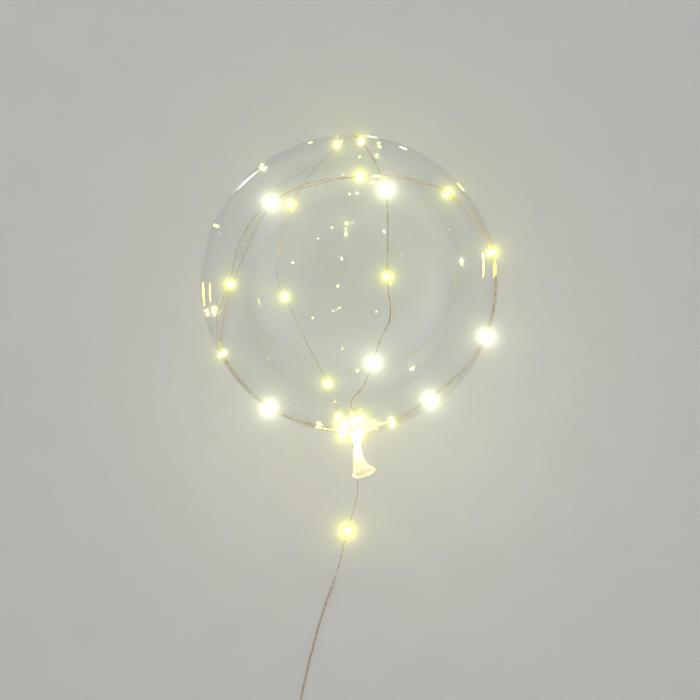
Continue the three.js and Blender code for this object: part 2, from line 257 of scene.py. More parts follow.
# The die inside: its radius and length as shares of the drop's, the powers that round it, and its fineness
DIE_RADIUS_SHARE = 0.55
DIE_LENGTH_SHARE = 0.5
DIE_ROUNDING = (4, 0.5)
DIE_ROWS, DIE_COLUMNS = 9, 12

# A light lower than this over the floor throws none on it
LOW_LIGHT = 100

# The lights as the film mirrors them: their brightness, and their radius as a share of the drop's
SPARKLE = 200
SPARKLE_SHARE = 1.3

# How the lights look: a phosphor's colour among the string's settings, how strongly it glows, and its lights
GLOWS = {
    "white_phosphor": ("white", 900, [
        "front_light_01", "front_light_04", "front_light_08", "front_light_09",
        "crown_light_02", "crown_light_04",
    ]),
    "bright_phosphor": ("warm", 1300, [
        "crown_light_06", "crown_light_07", "crown_light_08", "crown_light_09", "lead_light",
    ]),
    "warm_phosphor": ("warm", 400, [
        "front_light_05", "crown_light_01", "crown_light_10", "neck_light_01", "neck_light_02",
    ]),
    "yellow_phosphor": ("yellow", 430, [
        "front_light_03", "front_light_06", "front_light_07", "crown_light_03",
    ]),
    "dim_phosphor": ("yellow", 190, ["front_light_02", "front_light_10", "crown_light_05"]),
}

# Points round the battery box's outline, and rows over its edges, up its case and across its cover
LONG_SIDE_POINTS = 120
SHORT_SIDE_POINTS = 40
CORNER_POINTS = 7
EDGE_ROWS = 6
CASE_ROWS = 14
COVER_ROWS = 44

# Rounding of the case's rim, in millimetres
CASE_LIP = 0.3

# Moulded grips on the case's long sides, in millimetres: pitch, depth, half the length that they take and how
# much of it they fade over, the heights over the base and below the rim between which they fade, and how
# close to the side a point has to be
GRIP_PITCH = 3.0
GRIP_DEPTH = 0.5
GRIP_HALF_LENGTH = 12
GRIP_END = 1
GRIP_BOTTOM = (2.5, 4)
GRIP_TOP = (3, 1.5)
LONG_SIDE_WITHIN = 0.1

# Thumb ridges on the cover: height, the middle along it, and where their half width and half length fade
RIDGE_HEIGHT = 0.5
RIDGE_MIDDLE = -22
RIDGE_HALF_WIDTH = (8, 9)
RIDGE_HALF_LENGTH = (6, 7)

# Button pad: the gap round it, the inner ring of its pocket's floor as a share of the pocket's radius, and
# its profile in shares of its own radius and height
POCKET_GAP = 0.3
POCKET_INNER_SHARE = 0.5
BUTTON_PROFILE = [
    (0, 0), (0.9, 0), (1, 0.0526), (1, 0.35), (0.97, 0.42), (0.86, 0.42), (0.8, 0.5), (0.76, 0.75),
    (0.68, 0.88), (0.5, 0.95), (0.25, 0.99), (0, 1),
]
BUTTON_COLUMNS = 48

# Grommet: its collar as a share of its length, its tip in millimetres, and its grooves
GROMMET_COLLAR_SHARE = 0.2
GROMMET_TIP_RADIUS = 1.3
GROOVE_DEPTH = 0.35
GROOVES_PER_LENGTH = 5
GROOVE_START = 0.25
GROOVE_FADE = (0.9, 1)
GROMMET_ROWS, GROMMET_COLUMNS = 33, 32


def linear(code):
    """Linear colour, with alpha, of an sRGB hex value."""
    channels = [int(code[i:i + 2], 16) / 255 for i in (1, 3, 5)]
    return [c / 12.92 if c <= 0.04045 else ((c + 0.055) / 1.055) ** 2.4 for c in channels] + [1.0]


# Settings


class FilmSettings(bpy.types.PropertyGroup):
    """Sizes of the blown film."""

    bubble_radius: FloatProperty(
        name="Bubble radius", description="From the bubble's centre to its film", default=0.160, unit="LENGTH"
    )
    flat_spot_radius: FloatProperty(
        name="Flat spot", description="Spot that the bubble lies on, its radius", default=0.025, unit="LENGTH"
    )
    neck_radius: FloatProperty(
        name="Neck radius", description="Outside of the gathered neck", default=0.0045, unit="LENGTH"
    )
    waist_radius: FloatProperty(
        name="Waist radius", description="Tightest place, just below the neck", default=0.0034, unit="LENGTH"
    )
    mouth_radius: FloatProperty(
        name="Mouth radius", description="Open end of the tail", default=0.0105, unit="LENGTH"
    )
    thickness: FloatProperty(
        name="Film thickness", description="Thickness of the film", default=0.00012, precision=5,
        unit="LENGTH",
    )
    pleats: IntProperty(name="Pleats", description="Folds of film round the neck", default=17)


class StringSettings(bpy.types.PropertyGroup):
    """Sizes and light colours of the light string."""

    strand_diameter: FloatProperty(
        name="Strand", description="Diameter of each of the two strands", default=0.0005, unit="LENGTH"
    )
    drop_radius: FloatProperty(
        name="Drop radius", description="Thickest part of a resin drop", default=0.0018, unit="LENGTH"
    )
    drop_length: FloatProperty(
        name="Drop length", description="A resin drop along the wire", default=0.0046, unit="LENGTH"
    )
    white: FloatVectorProperty(
        name="White light", description="Lights that face the camera", subtype="COLOR",
        default=linear("#f8ffee")[:3],
    )
    warm: FloatVectorProperty(
        name="Warm light", description="Lights seen from the side", subtype="COLOR",
        default=linear("#f2f250")[:3],
    )
    yellow: FloatVectorProperty(
        name="Yellow light", description="Lights seen from behind", subtype="COLOR",
        default=linear("#e6ea10")[:3],
    )


class BoxSettings(bpy.types.PropertyGroup):
    """Edges of the battery box. Its size comes from the frame."""

    corner: FloatProperty(
        name="Corner", description="Radius of the box's upright corners", default=0.004, unit="LENGTH"
    )
    edge: FloatProperty(
        name="Edge", description="Radius of the box's rounded edges", default=0.001, unit="LENGTH"
    )
    wall: FloatProperty(
        name="Wall", description="Thickness of the case's walls", default=0.0016, unit="LENGTH"
    )


class StageSettings(bpy.types.PropertyGroup):
    """Camera, floor and light."""

    azimuth: FloatProperty(
        name="Azimuth", description="Camera's turn round the balloon", subtype="ANGLE",
        default=math.radians(-2.6),
    )
    elevation: FloatProperty(
        name="Elevation", description="Camera's height angle", subtype="ANGLE", default=math.radians(72)
    )
    distance: FloatProperty(
        name="Distance", description="From the camera to the bubble's centre", default=2.5, unit="LENGTH"
    )
    floor: FloatVectorProperty(
        name="Floor", description="Pale paper", subtype="COLOR", default=linear("#dbd9d6")[:3]
    )
    dome: FloatProperty(name="Dome", description="Strength of the soft light all round", default=0.8)


# Tools for shapes


def smoothstep(value, low, high):
    """From 0 at low to 1 at high."""
    share = np.clip((value - low) / (high - low), 0, 1)
    return share * share * (3 - 2 * share)


def fading(value, full, none):
    """From 1 at full to 0 at none, which is the higher of the two."""
    return smoothstep(-value, -none, -full)


def unit(vectors):
    return vectors / np.linalg.norm(vectors, axis=-1, keepdims=True)


def around_neck(turn, radius, y):
    angle = np.radians(turn)
    return np.stack(np.broadcast_arrays(radius * np.sin(angle), y, radius * np.cos(angle)), axis=-1)


def on_bubble(rise, turn, reach):
    angle = np.radians(rise)
    return around_neck(turn, reach * np.sin(angle), -reach * np.cos(angle))


def centre_height(film):
    """Height of the bubble's centre over the floor, in millimetres."""
    return math.sqrt(film.bubble_radius**2 - film.flat_spot_radius**2) / MM


def node_box(node):
    """Size of the frame's node and the middle of its underside, in millimetres."""
    low, high = [np.array(corner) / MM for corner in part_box(node)]
    return high - low, (low + high) / 2 * (1, 1, 0) + low * (0, 0, 1)


# Four points become one on a smooth line in three levels of blends, each between two of their four knots
SPAN_BLENDS = [[(0, 1), (1, 2), (2, 3)], [(0, 2), (1, 3)], [(1, 2)]]


def smooth_line(points, steps):
    """A line through the points, with that many steps from each to the next. Later columns ride along."""
    points = np.asarray(points, float)
    points = np.vstack([2 * points[0] - points[1], points, 2 * points[-1] - points[-2]])
    gaps = np.linalg.norm(np.diff(points[:, :3], axis=0), axis=1)
    knots = np.concatenate([[0], np.cumsum(np.sqrt(gaps))])
    line = []
    for i in range(1, len(points) - 2):
        knot = knots[i - 1:i + 3]
        level = list(points[i - 1:i + 3])
        at = np.linspace(knot[1], knot[2], steps, endpoint=False)[:, None]
        for pairs in SPAN_BLENDS:
            level = [
                ((knot[b] - at) * level[k] + (at - knot[a]) * level[k + 1]) / (knot[b] - knot[a])
                for k, (a, b) in enumerate(pairs)
            ]
        line.append(level[0])
    return np.vstack([*line, points[-2]])


def length_along(line):
    return np.concatenate([[0], np.cumsum(np.linalg.norm(np.diff(line[:, :3], axis=0), axis=1))])


def grid_faces(rows, columns):
    """Faces between neighbouring rings, pointing out where the rings turn left about the way they follow."""
    row, column = np.meshgrid(np.arange(rows - 1), np.arange(columns), indexing="ij")
    here, above = row * columns, (row + 1) * columns
    after = (column + 1) % columns
    corners = [here + column, here + after, above + after, above + column]
    return np.stack(corners, axis=-1).reshape(-1, 4).tolist()


def lofted(rings):
    """Vertices and faces of a closed body through the rings, with a flat face at each end."""
    rings = np.asarray(rings, float)
    rows, columns = rings.shape[:2]
    last = (rows - 1) * columns
    ends = [list(range(columns))[::-1], list(range(last, last + columns))]
    return rings.reshape(-1, 3), grid_faces(rows, columns) + ends


def turned(profile, columns):
    """Vertices and faces of a body turned about Z. Its profile, of radius and height, ends on the axis."""
    profile = np.asarray(profile, float)
    angle = 2 * np.pi * np.arange(columns) / columns
    radius, height = profile[1:-1, 0, None], profile[1:-1, 1, None]
    rings = np.stack(np.broadcast_arrays(radius * np.cos(angle), radius * np.sin(angle), height), axis=-1)
    rows = len(rings)
    vertices = np.vstack([rings.reshape(-1, 3), [0, 0, profile[0, 1]], [0, 0, profile[-1, 1]]])
    low, high, top = rows * columns, rows * columns + 1, (rows - 1) * columns
    faces = grid_faces(rows, columns)
    for column in range(columns):
        after = (column + 1) % columns
        faces += [[low, after, column], [top + column, top + after, high]]
    return vertices, faces


def swept(line, radius):
    """Vertices and faces of a closed round strand along the line."""
    ahead = unit(np.gradient(line, axis=0))
    across = np.empty_like(line)
    across[0] = unit(np.cross(ahead[0], ANY_SIDE))
    for i in range(1, len(line)):
        across[i] = unit(across[i - 1] - ahead[i] * (across[i - 1] @ ahead[i]))
    angle = (2 * np.pi * np.arange(STRAND_SIDES) / STRAND_SIDES)[None, :, None]
    ring = np.cos(angle) * across[:, None] + np.sin(angle) * np.cross(ahead, across)[:, None]
    return lofted(line[:, None] + radius * ring)


def joined(*bodies):
    """Several bodies as one, with one list of vertices and one of faces."""
    vertices, faces = [], []
    start = 0
    for body_vertices, body_faces in bodies:
        vertices.append(body_vertices)
        faces += [[start + i for i in face] for face in body_faces]
        start += len(body_vertices)
    return np.vstack(vertices), faces


def add_piece(name, body, materials, node, material_of_face=None):
    """A smooth mesh in the frame, from millimetres, that rides with the part and stands for its node."""
    vertices, faces = body
    mesh = bpy.data.meshes.new(name)
    mesh.from_pydata((vertices * MM).tolist(), [], faces)
    mesh.shade_smooth()
    mesh.set_sharp_from_angle(angle=SHARP_EDGE)
    for material in materials:
        mesh.materials.append(material)
    if material_of_face is not None:
        mesh.polygons.foreach_set("material_index", np.asarray(material_of_face, np.int32))
    piece = bpy.data.objects.new(name, mesh)
    bpy.context.scene.collection.objects.link(piece)
    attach(piece, BODY)
    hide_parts(node)
    return piece


def add_moulding(node, body, place, material):
    """A moulded piece of the battery box, moved to its node's place in millimetres."""
    vertices, faces = body
    add_piece(f"{node}_moulding", (vertices + place, faces), [material], node)


def add_lamp(scene, name, kind, unseen_by, **settings):
    """A lamp that the listed kinds of rays don't meet."""
    data = bpy.data.lights.new(name, kind)
    for key, value in settings.items():
        setattr(data, key, value)
    lamp = bpy.data.objects.new(name, data)
    for ray in unseen_by:
        setattr(lamp, f"visible_{ray}", False)
    scene.collection.objects.link(lamp)
    return lamp


# Film


def film_outline(film):
    """Radius and place along the neck of each row, from the crown to the lip."""
    radius, neck = film.bubble_radius / MM, film.neck_radius / MM
    waist, mouth = film.waist_radius / MM, film.mouth_radius / MM
    angle = np.radians(np.linspace(0, 180 - GATHER_ANGLE, BUBBLE_ROWS + 1))
    bubble = np.stack([radius * np.sin(angle), radius * np.cos(angle)], axis=1)
    edge = bubble[-1]
    inward = np.array([math.cos(angle[-1]), -math.sin(angle[-1])])
    reach = (edge[0] - neck) / 2
    handles = [edge, edge + inward * reach, (neck, (edge[1] + NECK_TOP) / 2), (neck, NECK_TOP)]
    share = np.linspace(0, 1, GATHER_ROWS + 1)[1:, None]
    weights = [(1 - share) ** 3, 3 * share * (1 - share) ** 2, 3 * share**2 * (1 - share), share**3]
    gather = sum(weight * np.array(handle) for weight, handle in zip(weights, handles))
    share = np.linspace(0, 1, NECK_ROWS + 1)[1:, None]
    column = np.array([neck, NECK_TOP]) * (1 - share) + np.array([waist, NECK_END]) * share
    tail = np.linspace(0, 1, TAIL_ROWS + 1)
    flare_radius = waist + (mouth - waist) * tail**FLARE_POWER
    flare = np.stack([flare_radius, WAIST_END + (MOUTH_END - WAIST_END) * tail], axis=1)
    ahead = unit(flare[-1] - flare[-2])
    out = np.array([-ahead[1], ahead[0]])
    turn = np.radians(np.linspace(0, LIP_ROLL_TURN, LIP_ROWS + 1))[1:, None]
    lip = flare[-1] + LIP_ROLL * (out * (1 - np.cos(turn)) + ahead * np.sin(turn))
    return np.vstack([bubble, gather, column, flare, lip])


def pleat_depth(turn, pleats):
    """From 0 between two folds to 1 in the middle of one, with folds of uneven width."""
    uneven = turn + sum(size * np.sin(count * turn + start) for size, count, start in PLEAT_SHIFTS)
    size, count, start = PLEAT_SWELL
    swell = 1 - size + size * np.sin(count * turn + start)
    broad = (0.5 - 0.5 * np.cos(pleats * uneven)) ** PLEAT_SHARPNESS * swell
    fine = 0.5 - 0.5 * np.cos((2 * pleats + FINE_PLEATS_EXTRA) * turn + FINE_PLEAT_START)
    return (1 - FINE_PLEAT_SHARE) * broad + FINE_PLEAT_SHARE * fine


def off_wire(points, wire):
    """How far each point of the film is from the wire, in millimetres."""
    far = np.empty(points.shape[:2])
    for row in range(len(points)):
        gap = points[row][:, None, :] - wire[None, :, :]
        far[row] = np.sqrt(np.einsum("ijk,ijk->ij", gap, gap).min(axis=1))
    return far


def film_points(film, wire):
    """Rows of points from the lip to the crown, in millimetres about the bubble's centre."""
    outline = film_outline(film)[::-1]
    turn = (2 * np.pi * np.arange(FILM_COLUMNS) / FILM_COLUMNS)[None, :]
    slope = unit(np.gradient(outline, axis=0))
    radius, y = outline[:, :1], outline[:, 1:]
    rise = np.degrees(np.arctan2(radius, -y))
    tail = np.clip((WAIST_END - y) / (WAIST_END - MOUTH_END), 0, 1)
    depth = np.minimum(PLEAT_DEPTH * fading(rise, PLEAT_FULL_ANGLE, PLEAT_START_ANGLE), PLEAT_SHARE * radius)
    depth = depth * (1 - tail) ** 2 * pleat_depth(turn, film.pleats)
    wave = 1
    for power, (size, count, start) in enumerate([MOUTH_WAVES, MOUTH_RIPPLES], 1):
        wave = wave + size * tail**power * np.cos(count * turn + start)
    # The folds cut into the neck, and stand out from the bubble where they run on over it
    radius = (radius - depth * slope[:, 1:]) * wave
    y = y - depth * slope[:, :1]
    points = np.stack([radius * np.sin(turn), y, radius * np.cos(turn)], axis=-1)
    points[..., 1] += tail * (MOUTH_SLANT_X * points[..., 0] + MOUTH_SLANT_Z * points[..., 2])
    points[..., 0] += TAIL_LEAN * tail**2
    points[..., 2] -= TAIL_DROOP * tail**2
    out = unit(points)
    for flat_rise, flat_turn, half_width, flat_depth in FLATS:
        away = np.degrees(np.arccos(np.clip(out @ on_bubble(flat_rise, flat_turn, 1.0), -1, 1)))
        points -= out * (flat_depth * np.exp(-((away / half_width) ** 2)))[..., None]
    groove = WIRE_GROOVE_DEPTH * np.exp(-((off_wire(points, wire) / WIRE_GROOVE_WIDTH) ** 2))
    points -= out * groove[..., None]
    points[..., 2] = np.maximum(points[..., 2], -centre_height(film))
    return points


# Light string


def neck_turns(first, last, radius, y):
    """Points of a layer of turns that climbs the neck."""
    count = round(abs(last - first) / TURN_STEP)
    turn = first + math.copysign(TURN_STEP, last - first) * np.arange(count + 1)
    return around_neck(turn, radius, y + np.arange(count + 1) * TURN_PITCH * TURN_STEP / 360)


def loop_points(stations, film, string):
    """A loop over the bubble: place, half the gap between its strands, and their twist about each other."""
    rise, turn, part, half_turns = np.array([station[:4] for station in stations], float).T
    curve = unit(smooth_line(on_bubble(rise, turn, 1.0), STEPS_PER_SPAN))
    radius, touch = film.bubble_radius / MM, string.strand_diameter / MM / 2
    share = np.arange(len(curve)) / STEPS_PER_SPAN
    span = np.minimum(share.astype(int), len(stations) - 2)
    share = share - span
    gap = touch + part[span] * np.sin(np.pi * share)
    twist = np.pi * (np.concatenate([[0], np.cumsum(half_turns)])[span] + half_turns[span] * share)
    along = length_along(curve * radius)
    lift = np.full(len(curve), 2 * touch)
    for i, station in enumerate(stations):
        height, width = LIFTS[station[4]]
        lift += height * np.exp(-(((along - along[i * STEPS_PER_SPAN]) / width) ** 2))
    return curve * (radius + lift)[:, None], gap, twist


def build_wire(film, string):
    """The wound wire's middle line, its two strands, and the name, place and axes of each light on it."""
    touch = string.strand_diameter / MM / 2
    knots, lights = [], []
    twist = 0.0

    def on_neck(points):
        knots.append(np.column_stack([points, np.full(len(points), touch), np.full(len(points), twist)]))

    def neck_places(places):
        on_neck(np.array([around_neck(*place) for place in places]))

    def add_loop(stations, node):
        nonlocal twist
        points, gap, turns = loop_points(stations, film, string)
        knots.append(np.column_stack([points, gap, twist + turns]))
        twist += turns[-1]
        carried = [i for i, station in enumerate(stations) if station[4] == LIGHT]
        for number, i in enumerate(carried, 1):
            lights.append((f"{node}_{number:02d}", points[i * STEPS_PER_SPAN]))

    neck_places(STRING_START)
    on_neck(neck_turns(*FIRST_LAYER))
    neck_places(TO_FRONT_LOOP)
    lights.append(("neck_light_01", around_neck(*TO_FRONT_LOOP[-1])))
    add_loop(FRONT_LOOP, "front_light")
    neck_places(FROM_FRONT_LOOP)
    on_neck(neck_turns(*SECOND_LAYER))
    neck_places(TO_CROWN_LOOP)
    add_loop(CROWN_LOOP, "crown_light")
    neck_places(FROM_CROWN_LOOP)
    on_neck(neck_turns(*LAST_TURN))
    neck_places(STRING_END)
    lights.append(("neck_light_02", around_neck(*TO_CROWN_LOOP[-1])))

    route = smooth_line(np.vstack(knots), 2)
    line, gap, twist = route[:, :3], route[:, 3:4], route[:, 4:5]
    ahead = unit(np.gradient(line, axis=0))
    axis = line * (0, 1, 0) * smoothstep(-line[:, 1:2], *UP_CHANGE)
    side = unit(np.cross(unit(line - axis), ahead))
    up = np.cross(ahead, side)
    shift = gap * np.cos(twist) * side + touch * np.sin(twist) * up
    placed = []
    for name, place in lights:
        nearest = np.argmin(np.linalg.norm(line - place, axis=1))
        placed.append((name, line[nearest], ahead[nearest], up[nearest]))
    return line, [line + shift, line - shift], placed


def build_lead(string):
    """The lead's middle line, its two twisted strands, and the name, place and axes of the light on it."""
    line = smooth_line(LEAD_ROUTE + LEAD_INSIDE_BOX, LEAD_STEPS)
    ahead = unit(np.gradient(line, axis=0))
    side = unit(np.array([1.0, 0, 0]) - ahead * ahead[:, :1])
    under = np.cross(side, ahead)
    twist = (2 * np.pi * length_along(line) / LEAD_TWIST_PITCH)[:, None]
    shift = string.strand_diameter / MM / 2 * (np.cos(twist) * side + np.sin(twist) * under)
    at = LEAD_DROP_INDEX * LEAD_STEPS
    return line, [line + shift, line - shift], ("lead_light", line[at], ahead[at], under[at])


def rounded_bead(radius, half_length, rounding, rows, columns):
    """A bead along Z whose ends are rounded by the two powers."""
    inner, outer = rounding
    at = np.linspace(-1, 1, rows)
    return turned(np.stack([radius * (1 - np.abs(at) ** inner) ** outer, half_length * at], axis=1), columns)


def drop_bodies(place, ahead, up, string):
    """A resin drop on the wire and the glowing die inside it."""
    radius, half = string.drop_radius / MM, string.drop_length / MM / 2
    axes = np.stack([np.cross(up, ahead), up, ahead])
    shell, shell_faces = rounded_bead(radius, half, BEAD_ROUNDING, BEAD_ROWS, BEAD_COLUMNS)
    shell[:, 1] += BEAD_BULGE * radius * (1 - (shell[:, 2] / half) ** 2)
    die, die_faces = rounded_bead(
        DIE_RADIUS_SHARE * radius, DIE_LENGTH_SHARE * half, DIE_ROUNDING, DIE_ROWS, DIE_COLUMNS
    )
    return (place + shell @ axes, shell_faces), (place + die @ axes, die_faces)


# Battery box


def outline_ring(width, length, corner, height):
    """Points round a rectangle with rounded corners, turning left about Z."""
    across, along = width / 2 - corner, length / 2 - corner
    ring = []
    sides = [SHORT_SIDE_POINTS, LONG_SIDE_POINTS, SHORT_SIDE_POINTS, LONG_SIDE_POINTS]
    centres = [(across, -along), (across, along), (-across, along), (-across, -along)]
    for i, (x, y) in enumerate(centres):
        angle = np.radians(-90 + 90 * i + np.linspace(0, 90, CORNER_POINTS))
        arc = np.stack([x + corner * np.cos(angle), y + corner * np.sin(angle)], axis=1)
        after_x, after_y = centres[(i + 1) % 4]
        first = np.radians(90 * i)
        start = np.array([after_x + corner * math.cos(first), after_y + corner * math.sin(first)])
        share = np.linspace(0, 1, sides[(i + 1) % 4])[1:-1, None]
        ring += [arc, arc[-1] * (1 - share) + start * share]
    ring = np.vstack(ring)
    return np.column_stack([ring, np.full(len(ring), height)])


def edge_rings(width, length, corner, edge, low, high):
    """Rings that round an edge over, from the full outline at low to the inset one at high."""
    rings = []
    for angle in np.radians(np.linspace(0, 90, EDGE_ROWS)):
        inset = edge * (1 - math.cos(angle))
        height = low + (high - low) * math.sin(angle)
        rings.append(outline_ring(width - 2 * inset, length - 2 * inset, corner - inset, height))
    return rings


def case_body(size, box):
    """The case, an open tray with grips moulded into its long sides, about the middle of its base."""
    width, length, height = size
    corner, edge, wall = box.corner / MM, box.edge / MM, box.wall / MM
    top = height - CASE_LIP
    rings = edge_rings(width, length, corner, edge, edge, 0)[::-1]
    for z in np.linspace(edge, top, CASE_ROWS)[1:]:
        ring = outline_ring(width, length, corner, z)
        x, y = ring[:, 0], ring[:, 1]
        fade = smoothstep(z, *GRIP_BOTTOM) * fading(z, height - GRIP_TOP[0], height - GRIP_TOP[1])
        reach = fading(np.abs(y), GRIP_HALF_LENGTH - GRIP_END, GRIP_HALF_LENGTH)
        groove = GRIP_DEPTH * fade * reach * (0.5 + 0.5 * np.cos(2 * np.pi * y / GRIP_PITCH))
        ring[:, 0] -= np.sign(x) * np.where(np.abs(x) > width / 2 - LONG_SIDE_WITHIN, groove, 0)
        rings.append(ring)
    rings += edge_rings(width, length, corner, CASE_LIP, top, height)[1:]
    inside = (width - 2 * wall, length - 2 * wall, corner - wall)
    rings += [outline_ring(*inside, z) for z in (height, 2 * wall, wall)]
    return lofted(rings)


def cover_body(size, box, pocket, pocket_radius, pocket_floor):
    """The cover, with a round pocket for the button and thumb ridges, about the middle of its underside."""
    width, length, height = size
    corner, edge = box.corner / MM, box.edge / MM
    rings = [outline_ring(width, length, corner, z) for z in (0, height - edge)]
    rings += edge_rings(width, length, corner, edge, height - edge, height)[1:]
    outer = rings[-1]
    angle = np.arctan2(outer[:, 1] - pocket[1], outer[:, 0] - pocket[0])
    centre = np.array([*pocket, height])
    out = np.column_stack([np.cos(angle), np.sin(angle), np.zeros(len(angle))])
    mouth = centre + out * pocket_radius
    for share in np.linspace(0, 1, COVER_ROWS)[1:]:
        ring = outer + (mouth - outer) * share
        x, y = ring[:, 0], ring[:, 1]
        ridged = fading(np.abs(x), *RIDGE_HALF_WIDTH) * fading(np.abs(y - RIDGE_MIDDLE), *RIDGE_HALF_LENGTH)
        ring[:, 2] += RIDGE_HEIGHT * ridged * np.maximum(0, np.cos(2 * np.pi * y / GRIP_PITCH))
        rings.append(ring)
    for radius in (pocket_radius, POCKET_INNER_SHARE * pocket_radius):
        ring = centre + out * radius
        ring[:, 2] = pocket_floor
        rings.append(ring)
    return lofted(rings)


def grommet_body(radius, length):
    """The grommet, a taper with grooves round it behind a plain collar, along Y from its base."""
    at = np.linspace(0, 1, GROMMET_ROWS)
    narrowed = np.maximum(0, at - GROMMET_COLLAR_SHARE) / (1 - GROMMET_COLLAR_SHARE)
    taper = radius + (GROMMET_TIP_RADIUS - radius) * narrowed
    waves = np.maximum(0, np.sin(2 * np.pi * GROOVES_PER_LENGTH * at))
    grooves = GROOVE_DEPTH * np.where(at > GROOVE_START, waves, 0) * fading(at, *GROOVE_FADE)
    profile = [(0, 0), *zip(taper - grooves, length * at), (0, length)]
    vertices, faces = turned(profile, GROMMET_COLUMNS)
    return np.stack([vertices[:, 0], vertices[:, 2], -vertices[:, 1]], axis=1), faces


# Materials


def add_node(tree, kind, inputs=None, output=None, **settings):
    """Adds a node with its settings, and gives each listed input a plain value or a link from a socket.

    Returns the named output, or else the first one in use.
    """
    made = tree.nodes.new(kind)
    for key, value in settings.items():
        setattr(made, key, value)
    for key, value in (inputs or {}).items():
        if isinstance(value, bpy.types.NodeSocket):
            tree.links.new(value, made.inputs[key])
        else:
            made.inputs[key].default_value = value
    if output:
        return made.outputs[output]
    return next((socket for socket in made.outputs if socket.enabled), None)


def set_shades(ramp, shades):
    """Gives a colour ramp its shades, each a place from 0 to 1 and an sRGB colour."""
    elements = ramp.color_ramp.elements
    for place, colour in shades[1:-1]:
        elements.new(place).color = linear(colour)
    elements[0].color, elements[-1].color = linear(shades[0][1]), linear(shades[-1][1])


def new_material(name):
    """A bare material, its own way to add nodes, and the object's coordinates in it."""
    material = bpy.data.materials.new(name)
    material.use_nodes = True
    material.node_tree.nodes.clear()
    add = partial(add_node, material.node_tree)
    return material, add, add("ShaderNodeTexCoord", output="Object")


def per_metre(millimetres):
    """Scale of a pattern whose features are this far apart."""
    return 1 / (millimetres * MM)


def blown_film(height):
    """Blown polyurethane film: clear, with sharp wet reflections that waver where it stretched unevenly."""
    material, add, place = new_material("blown_polyurethane_film")
    stretch = add("ShaderNodeTexNoise", {"Vector": place, "Scale": per_metre(14), "Detail": 2.0})
    haze = add("ShaderNodeMapRange", {
        "Value": stretch, "From Min": 0.3, "From Max": 0.7, "To Min": 0.01, "To Max": 0.04,
    })
    ripple = add("ShaderNodeBump", {"Height": stretch, "Strength": 0.05, "Distance": 0.4 * MM})
    # Creases fan out from the neck and fade, whitest close to it: the film's crease whitening, and a painted
    # highlight of the pleats
    middle = add("ShaderNodeVectorMath", {0: place, 1: (0, 0, height)}, operation="SUBTRACT")
    off_axis = add("ShaderNodeVectorMath", {0: middle, 1: (1, 0, 1)}, operation="MULTIPLY")
    away = add("ShaderNodeVectorMath", {0: off_axis}, operation="LENGTH")
    way = add("ShaderNodeVectorMath", {0: off_axis}, operation="NORMALIZE")
    fan = add("ShaderNodeTexNoise", {
        "Vector": way, "Scale": CREASES_ROUND_NECK / (2 * math.pi), "Detail": 2.0,
    })
    full, none = CREASE_FADE
    fade = add("ShaderNodeMapRange", {
        "Value": away, "From Min": full * MM, "From Max": none * MM, "To Min": 0.62, "To Max": 0.3,
    })
    along = add("ShaderNodeSeparateXYZ", {"Vector": middle}, output="Y")
    full, none = CREASE_END
    near = add("ShaderNodeMapRange", {
        "Value": along, "From Min": full * MM, "From Max": none * MM, "To Min": 1.0, "To Max": 0.0,
    })
    line = add("ShaderNodeMath", {0: fan, 1: fade}, operation="MULTIPLY")
    crease = add("ShaderNodeMapRange", {"Value": line, "From Min": 0.24, "From Max": 0.38})
    cloud = add("ShaderNodeMath", {0: crease, 1: near}, operation="MULTIPLY")
    clear = add("ShaderNodeMapRange", {"Value": cloud, "To Min": 1.0, "To Max": 0.45})
    # Painted glow: near the neck the creases are painted as lit by the lights there
    full, none = CREASE_PAINTED_GLOW_REACH
    reach = add("ShaderNodeMapRange", {
        "Value": away, "From Min": full * MM, "From Max": none * MM, "To Min": 1.0, "To Max": 0.0,
    }, interpolation_type="SMOOTHSTEP")
    patches = add("ShaderNodeTexNoise", {"Vector": place, "Scale": per_metre(12), "Detail": 1.0})
    mixed = add("ShaderNodeMath", {0: fan, 1: patches}, operation="MULTIPLY")
    streak = add("ShaderNodeMapRange", {"Value": mixed, "From Min": 0.16, "From Max": 0.4})
    painted_light = add("ShaderNodeMath", {0: streak, 1: reach}, operation="MULTIPLY")
    painted_glow_mask = add("ShaderNodeMath", {0: painted_light, 1: near}, operation="MULTIPLY")
    painted_glow = add("ShaderNodeVectorMath", {0: linear(CREASE_PAINTED_GLOW)[:3], "Scale": painted_glow_mask}, operation="SCALE")
    shader = add("ShaderNodeBsdfPrincipled", {
        "Base Color": linear("#fafdfc"), "Roughness": haze, "IOR": 1.5, "Transmission Weight": clear,
        "Normal": ripple, "Coat Weight": 0.8, "Coat Roughness": 0.02,
        "Emission Color": painted_glow, "Emission Strength": CREASE_PAINTED_GLOW_STRENGTH,
    })
    add("ShaderNodeOutputMaterial", {"Surface": shader})
    return material


